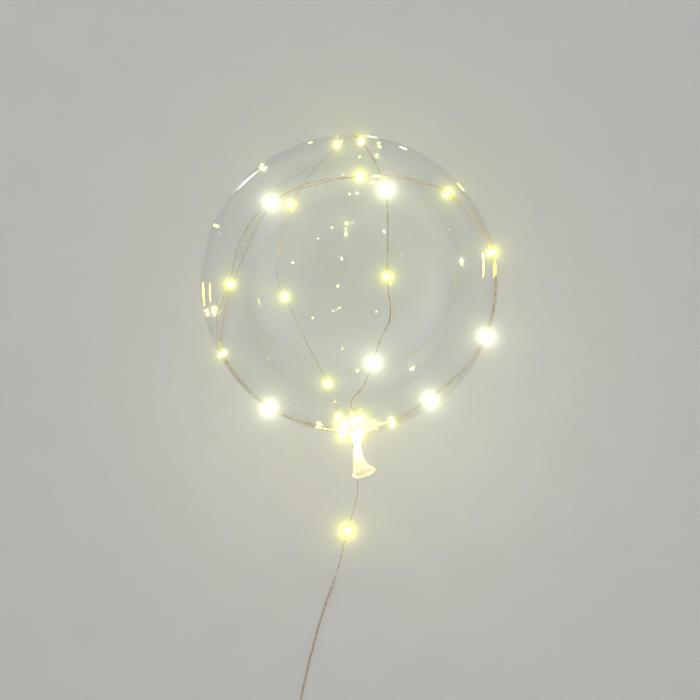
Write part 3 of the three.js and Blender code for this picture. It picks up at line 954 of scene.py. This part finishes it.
def creased_film(name, painted_glow):
    """The same film where it is gathered: fine creases scatter light, so it looks whiter and less clear.

    It also carries a painted glow, the light of the lights beside it painted on, by the place along the neck.
    """
    material, add, place = new_material(name)
    # The creases run along the neck
    lengthwise = add("ShaderNodeVectorMath", {0: place, 1: (1, 0.12, 1)}, operation="MULTIPLY")
    creases = add("ShaderNodeTexNoise", {"Vector": lengthwise, "Scale": per_metre(1.6), "Detail": 3.0})
    haze = add("ShaderNodeMapRange", {
        "Value": creases, "From Min": 0.3, "From Max": 0.7, "To Min": 0.06, "To Max": 0.22,
    })
    ripple = add("ShaderNodeBump", {"Height": creases, "Strength": 0.3, "Distance": 0.2 * MM})
    clear = add("ShaderNodeMapRange", {
        "Value": creases, "From Min": 0.35, "From Max": 0.65, "To Min": 0.95, "To Max": 0.55,
    })
    # Painted glow by the place along the neck, made uneven along the creases
    along = add("ShaderNodeSeparateXYZ", {"Vector": place}, output="Y")
    low, high = painted_glow[0][0], painted_glow[-1][0]
    share = add("ShaderNodeMapRange", {"Value": along, "From Min": low * MM, "From Max": high * MM})
    painted_light = add("ShaderNodeValToRGB", {"Fac": share})
    set_shades(painted_light.node, [((y - low) / (high - low), colour) for y, colour in painted_glow])
    uneven = add("ShaderNodeMapRange", {
        "Value": creases, "From Min": 0.3, "From Max": 0.7, "To Min": 0.5, "To Max": 1.3,
    })
    painted_glow_colour = add("ShaderNodeVectorMath", {0: painted_light, "Scale": uneven}, operation="SCALE")
    shader = add("ShaderNodeBsdfPrincipled", {
        "Base Color": linear("#fbfaf2"), "Roughness": haze, "IOR": 1.5, "Transmission Weight": clear,
        "Normal": ripple, "Emission Color": painted_glow_colour, "Emission Strength": PAINTED_GLOW_STRENGTH,
    })
    add("ShaderNodeOutputMaterial", {"Surface": shader})
    return material


def uneven_finish(name, spacing, detail, surface, shades=None, rough=None, dent=None):
    """A material that one pattern, with its features that many millimetres apart, makes uneven.

    The pattern mixes two shades, varies the roughness between two values and dents the surface, by a strength
    and a depth in millimetres. The surface's other values are the same all over.
    """
    material, add, place = new_material(name)
    pattern = add("ShaderNodeTexNoise", {"Vector": place, "Scale": per_metre(spacing), "Detail": detail})
    surface = dict(surface)
    if shades:
        mixed = {"Factor": pattern, "A": shades[0], "B": shades[1]}
        surface["Base Color"] = add("ShaderNodeMix", mixed, data_type="RGBA")
    if rough:
        spread = {"Value": pattern, "To Min": rough[0], "To Max": rough[1]}
        surface["Roughness"] = add("ShaderNodeMapRange", spread)
    if dent:
        depth = {"Height": pattern, "Strength": dent[0], "Distance": dent[1] * MM}
        surface["Normal"] = add("ShaderNodeBump", depth)
    add("ShaderNodeOutputMaterial", {"Surface": add("ShaderNodeBsdfPrincipled", surface)})
    return material


def enamelled_copper():
    """Drawn copper wire under clear enamel: a warm gold line with a glossy coat and uneven colour."""
    surface = {"Metallic": 1.0, "Coat Weight": 0.7, "Coat Roughness": 0.08}
    shades = linear("#c08a45"), linear("#efcf88")
    return uneven_finish("enamelled_copper_wire", 4, 2.0, surface, shades, rough=(0.18, 0.36))


def clear_epoxy():
    """Clear epoxy dabbed over a light: a glassy bead with a soft skin."""
    surface = {"Base Color": linear("#fffbe6"), "IOR": 1.54, "Transmission Weight": 1.0}
    return uneven_finish("clear_epoxy_drop", 1.2, 1.0, surface, rough=(0.03, 0.12), dent=(0.2, 0.2))


def lit_phosphor(name, colour, strength):
    """Phosphor over a light's die: a grainy yellow layer that glows. Its grain is drawn coarser to show."""
    surface = {"Roughness": 0.6, "Emission Color": (*colour, 1.0), "Emission Strength": strength}
    return uneven_finish(name, 0.3, 2.0, surface, (linear("#f4dc6a"), linear("#fff2a8")))


def moulded_silicone():
    """Moulded silicone rubber: mid grey, dull, with a faint dusty bloom."""
    shades = linear("#a4a8aa"), linear("#bcc0c1")
    return uneven_finish("moulded_grey_silicone", 3, 4.0, {"IOR": 1.41}, shades, rough=(0.55, 0.75))


def pale_paper(colour):
    """Matt paper for the floor: pale, with a faint mottle that is drawn coarser to show."""
    shades = [[share * c for c in colour] + [1] for share in (0.97, 1.03)]
    return uneven_finish("pale_studio_paper", 60, 4.0, {"Roughness": 0.9, "Specular IOR Level": 0.0}, shades)


def moulded_abs():
    """Moulded ABS: off-white, with the fine dull texture of an eroded mould."""
    material, add, place = new_material("moulded_white_abs")
    # Real grit is about a tenth of a millimetre, and is drawn coarser to show
    grit = add("ShaderNodeTexNoise", {"Vector": place, "Scale": per_metre(0.5), "Detail": 3.0})
    cloud = add("ShaderNodeTexNoise", {"Vector": place, "Scale": per_metre(22), "Detail": 2.0})
    colour = add("ShaderNodeMix", {
        "Factor": cloud, "A": linear("#e2e1da"), "B": linear("#efeee8"),
    }, data_type="RGBA")
    rough = add("ShaderNodeMapRange", {"Value": grit, "To Min": 0.38, "To Max": 0.58})
    texture = add("ShaderNodeBump", {"Height": grit, "Strength": 0.25, "Distance": 0.1 * MM})
    shader = add("ShaderNodeBsdfPrincipled", {
        "Base Color": colour, "Roughness": rough, "IOR": 1.53, "Normal": texture,
    })
    add("ShaderNodeOutputMaterial", {"Surface": shader})
    return material


# Operators, one for each piece or group of like pieces


class BALLOON_OT_stage(bpy.types.Operator):
    """Adds the camera, the pale floor, the soft light and the glow of the lights"""

    bl_idname = "balloon.add_stage"
    bl_label = "Stage"

    def execute(self, context):
        scene = context.scene
        self.add_camera(scene)
        self.add_floor(scene)
        self.add_dome(scene)
        self.add_softboxes(scene)
        for strip in RIM_STRIPS:
            self.add_rim_strip(scene, *strip)
        self.add_halo(scene)
        # Light thrown through the film onto the floor would come out as speckle, so the film casts none
        scene.cycles.caustics_reflective = False
        scene.cycles.caustics_refractive = False
        scene.cycles.sample_clamp_indirect = BOUNCE_CLAMP
        return {"FINISHED"}

    def view_of_bubble(self, scene):
        """The bubble's centre in metres, and the camera's right, up and back."""
        turn, rise = scene.balloon_stage.azimuth, scene.balloon_stage.elevation
        right = Vector((math.cos(turn), math.sin(turn), 0))
        back = Vector((math.sin(turn) * math.cos(rise), -math.cos(turn) * math.cos(rise), math.sin(rise)))
        return Vector((0, 0, centre_height(scene.balloon_film) * MM)), right, back.cross(right), back

    def add_camera(self, scene):
        distance = scene.balloon_stage.distance
        centre, right, up, back = self.view_of_bubble(scene)
        focal = BUBBLE_PIXEL_RADIUS / math.tan(math.asin(scene.balloon_film.bubble_radius / distance))
        pixel = distance / focal
        middle = PHOTO_SIDE / 2
        aim = centre + right * (middle - BUBBLE_PIXEL[0]) * pixel - up * (middle - BUBBLE_PIXEL[1]) * pixel
        data = bpy.data.cameras.new("camera")
        data.sensor_width = SENSOR_WIDTH
        data.lens = focal * SENSOR_WIDTH / PHOTO_SIDE
        camera = bpy.data.objects.new("camera", data)
        camera.location = centre + back * distance
        camera.rotation_euler = (aim - camera.location).to_track_quat("-Z", "Y").to_euler()
        scene.collection.objects.link(camera)
        scene.camera = camera

    def add_floor(self, scene):
        sides = [(-1, -1), (1, -1), (1, 1), (-1, 1)]
        mesh = bpy.data.meshes.new("floor")
        mesh.from_pydata(
            [(x * FLOOR_HALF_SIDE, y * FLOOR_HALF_SIDE, -FLOOR_DROP) for x, y in sides], [], [(0, 1, 2, 3)]
        )
        mesh.materials.append(pale_paper(scene.balloon_stage.floor))
        floor = bpy.data.objects.new("floor", mesh)
        scene.collection.objects.link(floor)

    def add_dome(self, scene):
        world = bpy.data.worlds.new("soft_dome")
        world.use_nodes = True
        world.node_tree.nodes.clear()
        add = partial(add_node, world.node_tree)
        way = add("ShaderNodeTexCoord", output="Generated")
        shade = add("ShaderNodeValToRGB", {"Fac": add("ShaderNodeSeparateXYZ", {"Vector": way}, output="Z")})
        set_shades(shade.node, DOME_SHADES)
        light = add("ShaderNodeBackground", {"Color": shade, "Strength": scene.balloon_stage.dome})
        add("ShaderNodeOutputWorld", {"Surface": light})
        scene.world = world

    def add_softboxes(self, scene):
        for name, place, width, length, power in SOFTBOXES:
            lamp = add_lamp(
                scene, name, "AREA", ("glossy", "transmission"),
                shape="RECTANGLE", size=width, size_y=length, energy=power,
            )
            lamp.location = place
            lamp.rotation_euler = (Vector(SOFTBOX_AIM) - lamp.location).to_track_quat("-Z", "Y").to_euler()

    def add_rim_strip(self, scene, name, start, end, width, away, strength, colour):
        """A strip light that only the film mirrors, as a streak along its rim between two pixels."""
        centre, right, up, back = self.view_of_bubble(scene)
        ends, ways = [], []
        for pixel in (start, end):
            across = (pixel[0] - BUBBLE_PIXEL[0]) / BUBBLE_PIXEL_RADIUS
            above = (BUBBLE_PIXEL[1] - pixel[1]) / BUBBLE_PIXEL_RADIUS
            out = right * across + up * above
            out = out + back * math.sqrt(max(0, 1 - out.length_squared))
            ways.append(2 * out.dot(back) * out - back)
            ends.append(centre + out * scene.balloon_film.bubble_radius + ways[-1] * away)
        along = ends[1] - ends[0]
        side = along.normalized()
        facing = -(ways[0] + ways[1]).normalized()
        facing = (facing - side * facing.dot(side)).normalized()
        lamp = add_lamp(
            scene, name, "AREA", ("camera", "diffuse", "transmission"),
            shape="ELLIPSE", size=along.length, size_y=width, color=linear(colour)[:3],
            energy=strength * math.pi * along.length * width,
        )
        axes = Matrix((side, facing.cross(side), facing)).transposed().to_4x4()
        middle = Matrix.Translation((ends[0] + ends[1]) / 2)
        lamp.matrix_world = middle @ axes @ Matrix.Rotation(math.pi, 4, "X")

    def add_halo(self, scene):
        scene.view_settings.view_transform = "Standard"
        scene.use_nodes = True
        scene.node_tree.nodes.clear()
        add = partial(add_node, scene.node_tree)
        picture = add("CompositorNodeRLayers", output="Image")
        hazed = add("CompositorNodeGlare", {
            "Image": picture, **HALO, "Tint": linear(HALO_TINT),
        }, output="Image", glare_type="FOG_GLOW", quality="HIGH")
        add("CompositorNodeComposite", {"Image": hazed})


class BALLOON_OT_film(bpy.types.Operator):
    """Adds the clear film: bubble, pleated neck and open tail"""

    bl_idname = "balloon.add_film"
    bl_label = "Film"

    def execute(self, context):
        film, string = context.scene.balloon_film, context.scene.balloon_string
        wire = build_wire(film, string)[0]
        rows = film_points(film, wire)[:-1]
        crown = [[0, film.bubble_radius / MM, 0]]
        height = centre_height(film)
        vertices = np.vstack([rows.reshape(-1, 3), crown]) + (0, 0, height)
        faces = grid_faces(len(rows), FILM_COLUMNS)
        top = (len(rows) - 1) * FILM_COLUMNS
        for column in range(FILM_COLUMNS):
            faces.append([top + column, top + (column + 1) % FILM_COLUMNS, len(vertices) - 1])
        gathered_rows = LIP_ROWS + TAIL_ROWS + 1 + NECK_ROWS + GATHER_ROWS // 2
        row = np.arange(len(faces)) // FILM_COLUMNS
        look = np.where(row < LIP_ROWS, 2, np.where(row < gathered_rows, 1, 0))
        # The neck, tail and lip take the creased film, with its painted glow
        materials = [
            blown_film(height * MM), creased_film("creased_polyurethane_film", NECK_PAINTED_GLOW),
            creased_film("rolled_polyurethane_lip", LIP_PAINTED_GLOW),
        ]
        piece = add_piece("balloon_film", (vertices, faces), materials, "balloon", look)
        wall = piece.modifiers.new("film_thickness", "SOLIDIFY")
        wall.thickness = film.thickness
        wall.offset = -1
        # Light passes straight through clear film
        piece.visible_shadow = False
        piece.visible_diffuse = False
        return {"FINISHED"}


class BALLOON_OT_light_wire(bpy.types.Operator):
    """Adds the wound wire of the light string, two enamelled strands"""

    bl_idname = "balloon.add_light_wire"
    bl_label = "Light wire"

    def execute(self, context):
        film, string = context.scene.balloon_film, context.scene.balloon_string
        radius = string.strand_diameter / MM / 2
        strands = [strand + (0, 0, centre_height(film)) for strand in build_wire(film, string)[1]]
        wire = joined(*(swept(strand, radius) for strand in strands))
        add_piece("light_wire_strands", wire, [enamelled_copper()], "light_wire")
        return {"FINISHED"}


class BALLOON_OT_light_drops(bpy.types.Operator):
    """Adds every light: a resin drop on the wire with a glowing die inside"""

    bl_idname = "balloon.add_light_drops"
    bl_label = "Light drops"

    def execute(self, context):
        film, string = context.scene.balloon_film, context.scene.balloon_string
        height = np.array([0, 0, centre_height(film)])
        epoxy = clear_epoxy()
        glows = {}
        for material, (colour, strength, names) in GLOWS.items():
            glows.update(dict.fromkeys(names, lit_phosphor(material, getattr(string, colour), strength)))
        lights = [(name, place + height, *axes) for name, place, *axes in build_wire(film, string)[2]]
        lights.append(build_lead(string)[2])
        for name, place, ahead, up in lights:
            bead, die = drop_bodies(place, ahead, up, string)
            look = [0] * len(bead[1]) + [1] * len(die[1])
            drop = add_piece(f"{name}_drop", joined(bead, die), [epoxy, glows[name]], name, look)
            drop.visible_shadow = False
            # A light this close to the paper would burn a white spot into it
            drop.visible_diffuse = bool(place[2] > LOW_LIGHT)
            self.add_sparkle(context.scene, name, place)
        return {"FINISHED"}

    def add_sparkle(self, scene, name, place):
        """A lamp in the drop that only glossy surfaces mirror, so that the film sparkles with each light."""
        string = scene.balloon_string
        radius = SPARKLE_SHARE * string.drop_radius
        lamp = add_lamp(
            scene, f"{name}_sparkle", "POINT", ("camera", "diffuse", "transmission"),
            shadow_soft_size=radius, color=string.white, energy=SPARKLE * 4 * math.pi**2 * radius**2,
        )
        lamp.location = place * MM


class BALLOON_OT_battery_case(bpy.types.Operator):
    """Adds the battery box's case"""

    bl_idname = "balloon.add_battery_case"
    bl_label = "Battery case"

    def execute(self, context):
        size, base = node_box("battery_case")
        body = case_body(size, context.scene.balloon_box)
        add_moulding("battery_case", body, base, moulded_abs())
        return {"FINISHED"}


class BALLOON_OT_battery_cover(bpy.types.Operator):
    """Adds the battery box's lift-off cover"""

    bl_idname = "balloon.add_battery_cover"
    bl_label = "Battery cover"

    def execute(self, context):
        size, base = node_box("battery_cover")
        button_size, button_base = node_box("button_pad")
        button = button_base - base
        pocket = button[:2], button_size[0] / 2 + POCKET_GAP, button[2] - POCKET_GAP
        body = cover_body(size, context.scene.balloon_box, *pocket)
        add_moulding("battery_cover", body, base, moulded_abs())
        return {"FINISHED"}


class BALLOON_OT_button_pad(bpy.types.Operator):
    """Adds the soft button pad"""

    bl_idname = "balloon.add_button_pad"
    bl_label = "Button pad"

    def execute(self, context):
        size, base = node_box("button_pad")
        body = turned(np.array(BUTTON_PROFILE) * (size[0] / 2, size[2]), BUTTON_COLUMNS)
        add_moulding("button_pad", body, base, moulded_silicone())
        return {"FINISHED"}


class BALLOON_OT_cord_grommet(bpy.types.Operator):
    """Adds the tapered grommet that the lead goes into, ringed with grooves"""

    bl_idname = "balloon.add_cord_grommet"
    bl_label = "Cord grommet"

    def execute(self, context):
        size, base = node_box("cord_grommet")
        body = grommet_body(size[0] / 2, size[1])
        place = base + (0, -size[1] / 2, size[2] / 2)
        add_moulding("cord_grommet", body, place, moulded_silicone())
        return {"FINISHED"}


class BALLOON_OT_lead(bpy.types.Operator):
    """Adds the free lead, two twisted strands from the neck to the battery box"""

    bl_idname = "balloon.add_lead"
    bl_label = "Lead"

    def execute(self, context):
        string = context.scene.balloon_string
        line, strands, _ = build_lead(string)
        radius = string.strand_diameter / MM / 2
        wire = joined(*(swept(strand, radius) for strand in strands))
        lead = add_piece("lead_strands", wire, [enamelled_copper()], "lead_wire")
        return {"FINISHED"}


class BALLOON_PT_panel(bpy.types.Panel):
    """Lists the balloon's settings and pieces"""

    bl_idname = "BALLOON_PT_panel"
    bl_label = "Clear Bubble Balloon"
    bl_space_type = "VIEW_3D"
    bl_region_type = "UI"
    bl_category = "Balloon"

    def draw(self, context):
        for group in SETTINGS:
            settings = getattr(context.scene, group)
            box = self.layout.box()
            for name in settings.__annotations__:
                box.prop(settings, name)
        for operator in OPERATORS:
            self.layout.operator(operator.bl_idname)


OPERATORS = [
    BALLOON_OT_stage, BALLOON_OT_film, BALLOON_OT_light_wire, BALLOON_OT_light_drops,
    BALLOON_OT_battery_case, BALLOON_OT_battery_cover, BALLOON_OT_button_pad, BALLOON_OT_cord_grommet,
    BALLOON_OT_lead,
]
SETTINGS = {
    "balloon_film": FilmSettings,
    "balloon_string": StringSettings,
    "balloon_box": BoxSettings,
    "balloon_stage": StageSettings,
}
CLASSES = [*SETTINGS.values(), *OPERATORS, BALLOON_PT_panel]


def register():
    for made in CLASSES:
        bpy.utils.register_class(made)
    for name, group in SETTINGS.items():
        setattr(bpy.types.Scene, name, PointerProperty(type=group))


def unregister():
    for name in SETTINGS:
        delattr(bpy.types.Scene, name)
    for made in reversed(CLASSES):
        bpy.utils.unregister_class(made)


def main():
    register()
    bpy.ops.balloon.add_stage()
    bpy.ops.balloon.add_film()
    bpy.ops.balloon.add_light_wire()
    bpy.ops.balloon.add_light_drops()
    bpy.ops.balloon.add_battery_case()
    bpy.ops.balloon.add_battery_cover()
    bpy.ops.balloon.add_button_pad()
    bpy.ops.balloon.add_cord_grommet()
    bpy.ops.balloon.add_lead()


if __name__ == "__main__":
    main()
